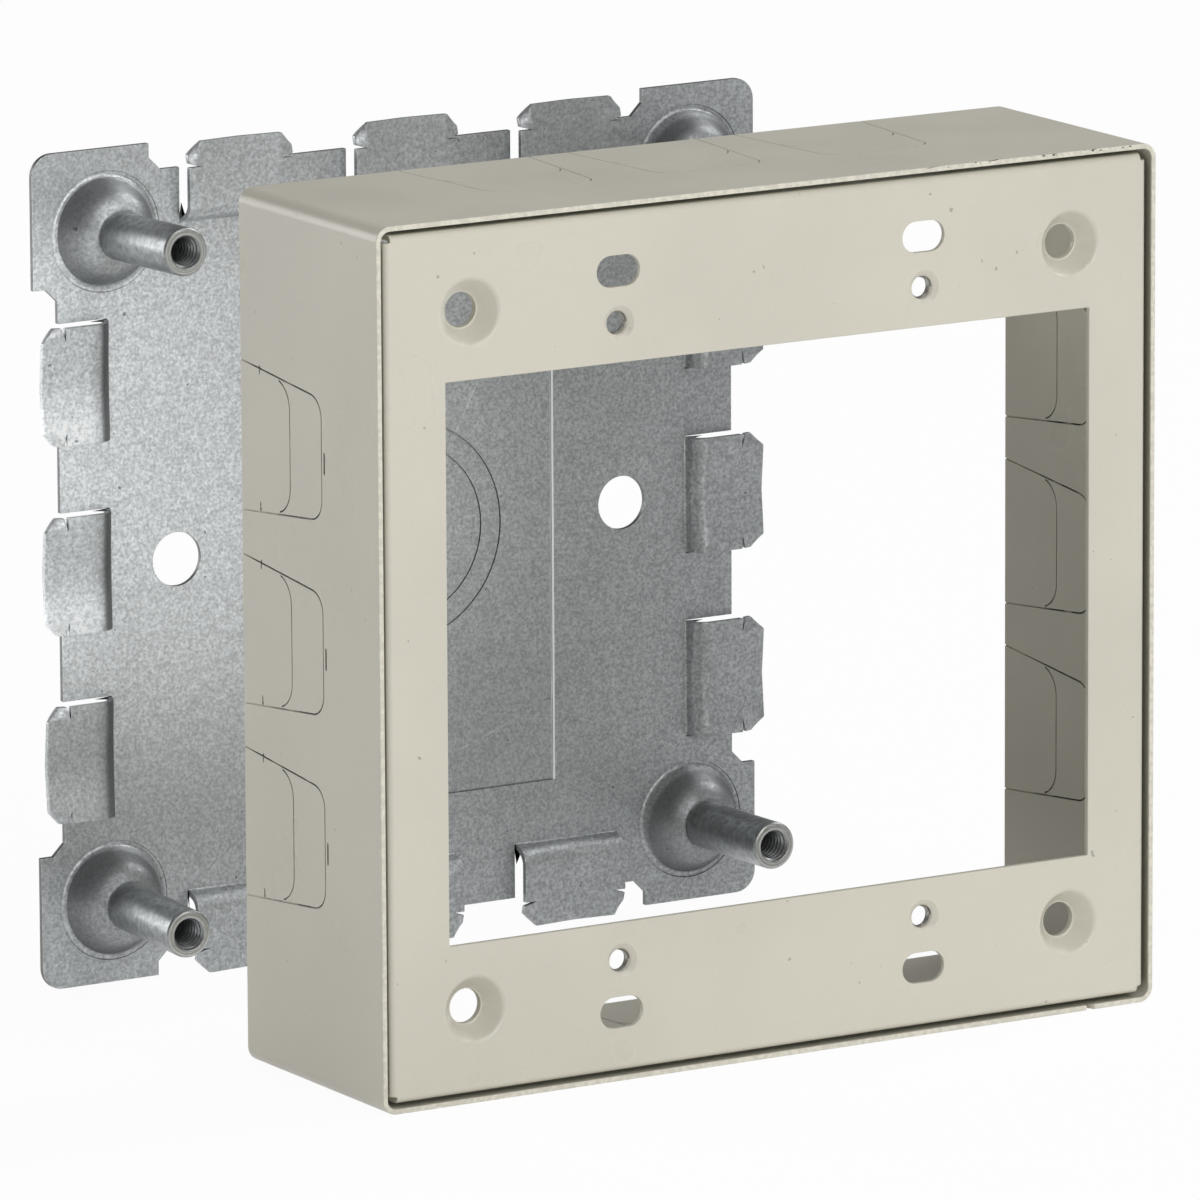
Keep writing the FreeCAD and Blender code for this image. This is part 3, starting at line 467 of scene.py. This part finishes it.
def clip_painted_light(n, zinc, color):
    """The left clips, with painted light and shade: dark on their bends, which face right, darker towards
    the root, and lighter at the lower end of each.
    """
    x, y, z = n.split(n.where)
    in_rows = n.math("LESS_THAN", n.away(z, PLATE_MIDDLE.z), CLIP_ROWS)
    # painted shade: the bends, which face right, are painted dark
    bend = n.product(n.band(n.facing()[0], 0.02, 0.4), n.math("LESS_THAN", x, CLIP_BEND), in_rows)
    color = n.mix(n.product(bend, 0.85), color, shade(zinc, 0.16))
    risen = n.math("LESS_THAN", y, PLATE_FACE - 0.4 * MM)
    on_clip = n.product(risen, in_rows, n.math("LESS_THAN", x, CLIP_ROOT))
    # painted shade towards each clip's root
    fade = n.band(x, CLIP_ROOT - 4.4 * MM, CLIP_ROOT - 0.4 * MM, 0.0, 0.75)
    color = n.mix(n.product(on_clip, fade), color, shade(zinc, 0.25))
    # one turn is one clip, from its lower end to its upper
    turn = n.product(n.math("SUBTRACT", z, PLATE_MIDDLE.z - 1.5 * KNOCKOUT_PITCH), 1 / KNOCKOUT_PITCH)
    # painted reflection: each clip is lighter at its lower end and darker higher up
    low = n.band(n.math("FRACT", turn), 0.24, 0.56, 1.16, 0.8)
    return n.scaled(color, n.math("ADD", n.product(on_clip, n.math("SUBTRACT", low, 1.0)), 1.0))


def dome_painted_shade(n, zinc, color):
    """Painted shade: the domes are painted darker, most of all towards their flanks."""
    x, y, z = n.split(n.where)
    across = n.math("SUBTRACT", n.away(x, PLATE_MIDDLE.x), POST_SPACING / 2)
    upward = n.math("SUBTRACT", n.away(z, PLATE_MIDDLE.z), POST_SPACING / 2)
    away = n.math("SQRT", n.math("ADD", n.product(across, across), n.product(upward, upward)))
    dome = n.product(n.band(away, 6.9 * MM, 7.4 * MM, 1.0, 0.0),
                     n.math("LESS_THAN", y, PLATE_FACE - 0.15 * MM))
    return n.mix(n.product(dome, n.band(away, 3.6 * MM, 6.4 * MM, 0.4, 0.8)), color, shade(zinc, 0.3))


def plate_scratches():
    """Scratches on the base plate's face: the two ends, the reach, and how bright they are."""
    for ends, reach, strength in (
            (((4.82, 75.35), (1.34, 68.75)), 0.16, 0.35), (((4.94, 69.93), (3.61, 68.24)), 0.14, 0.35),
            (((0.46, 24.86), (4.90, 26.44)), 0.12, 0.35), (((4.90, 26.44), (9.11, 27.98)), 0.10, 0.25)):
        yield [(x * MM, PLATE_FACE, z * MM) for x, z in ends], reach * MM, strength


def turned_steel(settings):
    """Zinc-plated turned steel: fine rings where the tool went round, and a mottled shank."""
    n = Nodes("turned steel")
    steel = tuple(settings.steel)
    mottle = n.noise(1100.0, 3.0, 0.6)
    streaks = n.noise(420.0, 2.0, 0.5, (1.0, 0.15, 1.0))
    color = n.mix(n.band(mottle, 0.3, 0.7), shade(steel, 0.72), shade(steel, 1.2))
    color = n.mix(n.band(streaks, 0.35, 0.65, 0.0, 0.45), color, shade(steel, 0.6))
    ring = n.math("SINE", n.product(n.mark("turning"), 2 * math.pi / TURNING_PITCH))
    end = n.mix(n.band(ring, -1.0, 1.0), (0.44, 0.45, 0.43), (0.60, 0.61, 0.59))
    end = n.mix(n.band(mottle, 0.4, 0.65, 0.0, 0.35), end, (0.36, 0.37, 0.36))
    color = n.mix(n.mark("bare"), color, end)
    marks = n.bump(ring, 0.005 * MM, 0.6)
    marks = n.bump(mottle, 0.008 * MM, 0.5, marks)
    return n.surface(color, n.band(mottle, 0.3, 0.7, 0.42, 0.32), 0.85, marks)


def cut_thread():
    """The bare tapped thread in a painted hole."""
    n = Nodes("cut thread")
    color = n.mix(n.band(n.noise(1500.0), 0.35, 0.65), (0.22, 0.21, 0.19), (0.42, 0.41, 0.38))
    return n.surface(color, 0.38, 0.75)


# Mesh helpers

def opened(node):
    """A copy of a CAD node for editing, with its flat faces whole again."""
    bm = bmesh.new()
    bm.from_mesh(NODES[node].data)
    bmesh.ops.remove_doubles(bm, verts=bm.verts, dist=WELD)
    bmesh.ops.dissolve_limit(bm, angle_limit=FLAT, verts=bm.verts, edges=bm.edges,
                             use_dissolve_boundaries=False)
    bm.normal_update()
    return bm


def round_edges(bm, radius, wanted):
    """Round the sharp edges for which wanted() is true."""
    sharp = [edge for edge in bm.edges
             if edge.is_manifold and edge.calc_face_angle(0.0) > SHARP and wanted(edge)]
    if sharp and radius > 0:
        bmesh.ops.bevel(bm, geom=sharp, offset=radius, segments=2, profile=0.5,
                        affect="EDGES", clamp_overlap=False)
    bm.normal_update()


def finished(bm, name, material, slot, *nodes, sharp=32.0):
    """Make an object of the mesh, shade it, and let it stand for the CAD nodes."""
    mesh = bpy.data.meshes.new(name)
    bm.normal_update()
    for face in bm.faces:
        face.smooth = True
    for edge in bm.edges:
        edge.smooth = not edge.is_manifold or edge.calc_face_angle(0.0) < math.radians(sharp)
    bm.to_mesh(mesh)
    bm.free()
    mesh.materials.append(material)
    piece = bpy.data.objects.new(name, mesh)
    bpy.context.scene.collection.objects.link(piece)
    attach(piece, "root")
    if nodes:
        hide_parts(*nodes)
    even = piece.modifiers.new("even shading", "WEIGHTED_NORMAL")
    even.keep_sharp = True
    even.weight = 80


# Painted box

def painted_material(context):
    """The enamel that the band and the front plate share."""
    found = bpy.data.materials.get("ivory enamel")
    return found or ivory_enamel(context.scene.outletbox_painted)


def on_rim(edge):
    """Edges of the band's front rim and of its rear edge."""
    return any(all(abs(vert.co.y - rim) < 0.02 * MM for vert in edge.verts)
               for rim in (FRONT_RIM, REAR_EDGE))


def nicks():
    """Each nick of the left wall: its corners, its dark line's ends and reach."""
    for row in (-1, 0, 1):
        middle = BOX_MIDDLE + row * KNOCKOUT_PITCH
        for (back, up), *outlines, reach in NICKS:
            corners, line = ([(-HALF_WIDTH, FRONT_RIM + (back + y) * MM, middle + (up + z) * MM)
                              for y, z in outline] for outline in outlines)
            yield corners, line, reach * MM


def cut_nicks(bm):
    """Cut the nicks into the outside of the left wall."""
    cutter = bmesh.new()
    for corners, _, _ in nicks():
        outer, inner = ([cutter.verts.new((x + depth, y, z)) for x, y, z in corners]
                        for depth in (-NICK_OVERHANG, NICK_DEPTH))
        cutter.faces.new(outer)
        cutter.faces.new(inner[::-1])
        for step in range(len(corners)):
            cutter.faces.new((outer[step - 1], inner[step - 1], inner[step], outer[step]))
    bmesh.ops.recalc_face_normals(cutter, faces=cutter.faces)
    parts = []
    for name, content in (("uncut band", bm), ("nick cutter", cutter)):
        mesh = bpy.data.meshes.new(name)
        content.to_mesh(mesh)
        content.free()
        parts.append(bpy.data.objects.new(name, mesh))
        bpy.context.scene.collection.objects.link(parts[-1])
    body, tool = parts
    modifier = body.modifiers.new("nicks", "BOOLEAN")
    modifier.operation = "DIFFERENCE"
    modifier.solver = "EXACT"
    modifier.object = tool
    ready = body.evaluated_get(bpy.context.evaluated_depsgraph_get())
    result = bmesh.new()
    result.from_mesh(ready.to_mesh())
    ready.to_mesh_clear()
    for part in parts:
        mesh = part.data
        bpy.data.objects.remove(part)
        bpy.data.meshes.remove(mesh)
    return result


def mark_scores(bm):
    """Mark the points on the floors of the sheared lines and nicks, which lie inside the sheet."""
    score = bm.verts.layers.float.new("score")
    for vert in bm.verts:
        side = HALF_WIDTH - abs(vert.co.x)
        level = BOX_MIDDLE - abs(vert.co.z - BOX_MIDDLE)
        inside = any(SCORE_LEAST < under < SCORE_MOST and corner > CORNER_REACH
                     for under, corner in ((side, level), (level, side)))
        between = FRONT_RIM + 1.0 * MM < vert.co.y < REAR_EDGE - 0.4 * MM
        vert[score] = 1.0 if inside and between else 0.0


class OUTLETBOX_OT_side_band(bpy.types.Operator):
    """Make the four painted walls with their sheared knockouts"""
    bl_idname = "outletbox.side_band"
    bl_label = "Side Band"

    def execute(self, context):
        bm = opened("side_band")
        round_edges(bm, context.scene.outletbox_painted.edge_round, on_rim)
        bm = cut_nicks(bm)
        mark_scores(bm)
        finished(bm, "painted_band", painted_material(context), "ivory_paint", "side_band")
        return {"FINISHED"}


def tighten_dimples(bm):
    """Press the dimples narrower and deeper than plain cones, and a little to the right."""
    for vert in bm.verts:
        across = math.copysign(POST_SPACING / 2, vert.co.x)
        up = BOX_MIDDLE + math.copysign(POST_SPACING / 2, vert.co.z - BOX_MIDDLE)
        aside, rise = vert.co.x - across, vert.co.z - up
        away = math.hypot(aside, rise)
        if away < DIMPLE_REACH:
            factor = (COVER_BORE + (away - COVER_BORE) * DIMPLE_SQUEEZE) / away
            vert.co.x = across + DIMPLE_ASIDE + aside * factor
            vert.co.z = up + rise * factor
            if vert.co.y > FACE:
                vert.co.y = FACE + (vert.co.y - FACE) * DIMPLE_DEEPER


class OUTLETBOX_OT_front_plate(bpy.types.Operator):
    """Make the painted front plate with its dimples and device holes"""
    bl_idname = "outletbox.front_plate"
    bl_label = "Front Plate"

    def execute(self, context):
        bm = opened("front_plate")
        round_edges(bm, context.scene.outletbox_painted.edge_round, lambda edge: True)
        tighten_dimples(bm)
        finished(bm, "painted_face", painted_material(context), "ivory_paint", "front_plate")
        return {"FINISHED"}


def thread_ridge(bm, across, up, pitch):
    """The thread of one device screw hole: a ridge wound along +Y in the bore."""
    rounds = DEVICE_THREAD_LENGTH / pitch
    rows = []
    for step in range(int(rounds * DEVICE_THREAD_ROWS) + 1):
        turns = step / DEVICE_THREAD_ROWS
        angle = 2 * math.pi * turns
        along = FACE + DEVICE_THREAD_START + pitch * turns
        fade = min(1.0, turns, rounds - turns)
        crest = DEVICE_BORE - DEVICE_THREAD_DEPTH * max(0.05, fade)
        rows.append([bm.verts.new((across + radius * math.cos(angle), along + offset * pitch,
                                   up + radius * math.sin(angle)))
                     for offset, radius in ((-0.42, DEVICE_BORE), (0.0, crest), (0.42, DEVICE_BORE))])
    for before, after in zip(rows, rows[1:]):
        for index in range(2):
            bm.faces.new((before[index], after[index], after[index + 1], before[index + 1]))
        bm.faces.new((before[2], after[2], after[0], before[0]))
    bm.faces.new(rows[0])
    bm.faces.new(rows[-1][::-1])


class OUTLETBOX_OT_device_threads(bpy.types.Operator):
    """Cut the threads of the four device screw holes"""
    bl_idname = "outletbox.device_threads"
    bl_label = "Device Threads"

    def execute(self, context):
        pitch = context.scene.outletbox_posts.pitch * DEVICE_PITCH
        bm = bmesh.new()
        for across in (-0.5, 0.5):
            for up in (-0.5, 0.5):
                thread_ridge(bm, across * DEVICE_ACROSS, BOX_MIDDLE + up * DEVICE_UP, pitch)
        finished(bm, "device_threads", cut_thread(), "turned_steel")
        return {"FINISHED"}


# Base plate

def dome_place(name):
    """The middle of a post's dome in the plain model, on the plate's face."""
    across = -1 if name.endswith("left") else 1
    up = 1 if "top" in name else -1
    return PLATE_MIDDLE + Vector((across * POST_SPACING / 2, 0, up * POST_SPACING / 2))


def plate_shift(place):
    """How far a point of the plate lies from its place in the plain model."""
    across = min(1.0, max(0.0, (place.x - PLATE_LOW.x) / PLATE_SIZE.x))
    up = min(1.0, max(0.0, (place.z - PLATE_LOW.z) / PLATE_SIZE.z))
    shift = Vector((0, 0, STRETCH * across * up))
    for name, (right, rise) in DOME_SHIFTS.items():
        gap = place - dome_place(name)
        if math.hypot(gap.x, gap.z) < DOME_REACH:
            shift += Vector((right * MM, 0, rise * MM))
    return shift


def is_score(edge):
    """Edges of the shallow lines on the plate's two faces."""
    return all(abs(vert.co.x - PLATE_MIDDLE.x) < SCORE_ACROSS
               and abs(vert.co.z - PLATE_MIDDLE.z) < SCORE_UP for vert in edge.verts)


class OUTLETBOX_OT_base_plate(bpy.types.Operator):
    """Make the galvanised plate with its domes, clips and scored outlines"""
    bl_idname = "outletbox.base_plate"
    bl_label = "Base Plate"

    def execute(self, context):
        settings = context.scene.outletbox_plate
        bm = opened("base_plate")
        round_edges(bm, settings.edge_round, lambda edge: not is_score(edge))
        for vert in bm.verts:
            vert.co += plate_shift(vert.co)
        finished(bm, "galvanised_plate", galvanised_sheet(settings), "galvanised", "base_plate")
        return {"FINISHED"}


# Posts

def post_rows(pitch):
    """Rows of a post's surface from the dome to the tip and back through the bore.
    Each is its radius, its place along Y, and how deep the thread is cut there."""
    # the spigot and the shoulder on the dome
    for radius, along in ((2.5, 0.8), (2.5, 0.0), (3.05, 0.0)):
        yield radius * MM, POST_SEAT + along * MM, 0.0
    # the shank
    yield POST_RADIUS, POST_SEAT - 0.12 * MM, 0.0
    for step in range(1, SHANK_ROWS):
        yield POST_RADIUS, POST_SEAT + (POST_TIP + TIP_EDGE - POST_SEAT) * step / SHANK_ROWS, 0.0
    # the rounded edge and the flat end of the tip
    yield POST_RADIUS, POST_TIP + TIP_EDGE, 0.0
    for radius, along in ((-0.04, 0.22), (-0.12, 0.08), (-0.28, 0.0)):
        yield POST_RADIUS + radius * MM, POST_TIP + along * MM, 0.0
    for step in range(1, 5):
        yield (2.945 - 0.16 * step) * MM, POST_TIP, 0.0
    # the mouth and the thread
    yield 2.22 * MM, POST_TIP + 0.03 * MM, 0.0
    rows = int(THREAD_LENGTH / pitch * THREAD_ROWS)
    for step in range(rows):
        along = step / THREAD_ROWS
        fade = min(1.0, 0.25 + along, (rows - step) / THREAD_ROWS)
        yield MAJOR + 0.1 * MM * max(0.0, 1 - 2 * along), POST_TIP + 0.1 * MM + along * pitch, fade
    # the bore under the thread
    yield MINOR, POST_TIP + 0.3 * MM + THREAD_LENGTH, 0.0
    yield MINOR, POST_SEAT + 1.3 * MM, 0.0
    # the turned-over rim behind the dome
    for radius, along in ((3.1, 1.3), (3.2, 1.2), (3.2, 0.8), (2.5, 0.8)):
        yield radius * MM, POST_SEAT + along * MM, 0.0


def make_post(name, settings, lean, material):
    """Turn one post with a real thread in its bore, leaning a little as the riveted one does."""
    bm = bmesh.new()
    turning = bm.verts.layers.float.new("turning")
    bare = bm.verts.layers.float.new("bare")
    rings = []
    for radius, along, cut in post_rows(settings.pitch):
        ring = []
        for step in range(settings.steps):
            angle = 2 * math.pi * step / settings.steps
            phase = (along - POST_TIP) / settings.pitch + step / settings.steps
            here = radius - cut * (MAJOR - MINOR) * (0.5 - 0.5 * math.cos(2 * math.pi * phase))
            vert = bm.verts.new((here * math.cos(angle), along, here * math.sin(angle)))
            # the tool's rings run on from the end down the shank, farther apart
            vert[turning] = here + 0.6 * along if cut == 0 else 0.0
            vert[bare] = 1.0 if along < POST_TIP + 0.06 * MM else 0.0
            ring.append(vert)
        rings.append(ring)
    for before, after in zip(rings, rings[1:]):
        for step in range(settings.steps):
            ahead = (step + 1) % settings.steps
            bm.faces.new((before[step], before[ahead], after[ahead], after[step]))
    bmesh.ops.remove_doubles(bm, verts=bm.verts, dist=WELD)
    bmesh.ops.recalc_face_normals(bm, faces=bm.faces)
    middle = dome_place(name)
    middle += plate_shift(middle)
    foot = Vector((0, POST_SEAT, 0))
    tilt = Matrix.Rotation(lean[0], 4, "Z") @ Matrix.Rotation(lean[1], 4, "X")
    place = Vector((middle.x, 0, middle.z)) + foot
    bm.transform(Matrix.Translation(place) @ tilt @ Matrix.Translation(-foot))
    finished(bm, "turned_" + name, material, "turned_steel", name, sharp=62.0)


class OUTLETBOX_OT_posts(bpy.types.Operator):
    """Make the four tapped posts"""
    bl_idname = "outletbox.posts"
    bl_label = "Posts"

    def execute(self, context):
        settings = context.scene.outletbox_posts
        material = turned_steel(settings)
        for name, lean in POST_LEANS.items():
            make_post(name, settings, [math.radians(angle) for angle in lean], material)
        return {"FINISHED"}


# Stage

def pale_floor():
    """A matte floor that the camera and reflections see as nearly plain white."""
    n = Nodes("pale floor")
    diffuse = n.add("ShaderNodeBsdfDiffuse")
    diffuse.inputs["Color"].default_value = (0.9, 0.9, 0.9, 1)
    white = n.add("ShaderNodeEmission")
    white.inputs["Color"].default_value = (1, 1, 1, 1)
    white.inputs["Strength"].default_value = 1.0
    path = n.add("ShaderNodeLightPath")
    seen = n.strongest(path.outputs[ray] for ray in
                       ("Is Camera Ray", "Is Glossy Ray", "Is Transmission Ray"))
    blend = n.add("ShaderNodeMixShader")
    for socket, item in zip(blend.inputs, (n.product(seen, 0.95), diffuse.outputs[0], white.outputs[0])):
        n.tree.links.new(item, socket)
    n.tree.links.new(blend.outputs[0], n.output.inputs["Surface"])
    return n.material


def make_floor():
    """A wide floor just under the box."""
    bm = bmesh.new()
    bmesh.ops.create_grid(bm, x_segments=1, y_segments=1, size=FLOOR_HALF)
    mesh = bpy.data.meshes.new("floor")
    bm.to_mesh(mesh)
    bm.free()
    mesh.materials.append(pale_floor())
    floor = bpy.data.objects.new("floor", mesh)
    floor.location = (0, 0, -FLOOR_DROP)
    bpy.context.scene.collection.objects.link(floor)


def make_lamp(name, turn, height, power):
    """A round soft lamp, turned from the front towards the left and raised by two angles."""
    lamp = bpy.data.lights.new(name, "AREA")
    lamp.shape = "DISK"
    lamp.size = LAMP_SIZE
    lamp.energy = power
    way = Vector((-math.sin(turn) * math.cos(height), -math.cos(turn) * math.cos(height), math.sin(height)))
    holder = bpy.data.objects.new(name, lamp)
    holder.location = Vector((0, 0, BOX_MIDDLE)) + way * LAMP_AWAY
    holder.rotation_euler = (-way).to_track_quat("-Z", "Y").to_euler()
    bpy.context.scene.collection.objects.link(holder)


def make_world(strength):
    """Even white light from all sides."""
    world = bpy.data.worlds.new("even light")
    world.use_nodes = True
    bpy.context.scene.world = world
    background = world.node_tree.nodes["Background"]
    background.inputs["Color"].default_value = (1, 1, 1, 1)
    background.inputs["Strength"].default_value = strength


def make_camera(settings):
    """The camera of the photograph, from its place, three angles and its lens."""
    turn, dip, roll = settings.azimuth, settings.dip, settings.roll
    ahead = Vector((math.sin(turn) * math.cos(dip), math.cos(turn) * math.cos(dip), -math.sin(dip)))
    level = Vector((math.cos(turn), -math.sin(turn), 0))
    above = level.cross(ahead)
    across = level * math.cos(roll) + above * math.sin(roll)
    up = above * math.cos(roll) - level * math.sin(roll)
    camera = bpy.data.objects.new("camera", bpy.data.cameras.new("camera"))
    camera.matrix_world = Matrix.Translation(settings.camera_place) @ Matrix(
        (across, up, -ahead)).transposed().to_4x4()
    camera.data.sensor_width = 36
    camera.data.lens = settings.lens
    camera.data.clip_end = 20
    bpy.context.scene.collection.objects.link(camera)
    bpy.context.scene.camera = camera


class OUTLETBOX_OT_stage(bpy.types.Operator):
    """Set up the camera, the lamps, the even light and the floor"""
    bl_idname = "outletbox.stage"
    bl_label = "Stage"

    def execute(self, context):
        settings = context.scene.outletbox_stage
        make_camera(settings)
        make_floor()
        for name, turn, height, power in (("front lamp", 0, 10, settings.front),
                                          ("upper lamp", -12, 42, settings.upper),
                                          ("right lamp", -90, 42, settings.right),
                                          ("rear lamp", 140, 10, settings.rear)):
            make_lamp(name, math.radians(turn), math.radians(height), power)
        make_world(settings.sky)
        context.scene.view_settings.view_transform = "Standard"
        return {"FINISHED"}


# Panel and main

class OUTLETBOX_PT_panel(bpy.types.Panel):
    """Buttons and sizes of the outlet box"""
    bl_idname = "OUTLETBOX_PT_panel"
    bl_label = "Outlet Box"
    bl_space_type = "VIEW_3D"
    bl_region_type = "UI"
    bl_category = "Outlet Box"

    def draw(self, context):
        scene = context.scene
        for settings, operators in (
                (scene.outletbox_painted, ("side_band", "front_plate", "device_threads")),
                (scene.outletbox_plate, ("base_plate",)),
                (scene.outletbox_posts, ("posts",)),
                (scene.outletbox_stage, ("stage",))):
            box = self.layout.box()
            for name in settings.bl_rna.properties.keys():
                if name not in ("rna_type", "name"):
                    box.prop(settings, name)
            for operator in operators:
                box.operator("outletbox." + operator)


SETTINGS = {
    "outletbox_painted": PaintedSheetSettings,
    "outletbox_plate": BasePlateSettings,
    "outletbox_posts": PostSettings,
    "outletbox_stage": StageSettings,
}
OPERATORS = (OUTLETBOX_OT_side_band, OUTLETBOX_OT_front_plate, OUTLETBOX_OT_device_threads,
             OUTLETBOX_OT_base_plate, OUTLETBOX_OT_posts, OUTLETBOX_OT_stage)


def register():
    for kind in (*SETTINGS.values(), *OPERATORS, OUTLETBOX_PT_panel):
        bpy.utils.register_class(kind)
    for name, kind in SETTINGS.items():
        setattr(bpy.types.Scene, name, PointerProperty(type=kind))


def unregister():
    for name in SETTINGS:
        delattr(bpy.types.Scene, name)
    for kind in (OUTLETBOX_PT_panel, *reversed(OPERATORS), *SETTINGS.values()):
        bpy.utils.unregister_class(kind)


def main():
    register()
    for operator in OPERATORS:
        getattr(bpy.ops.outletbox, operator.bl_idname.split(".")[1])()


if __name__ == "__main__":
    main()
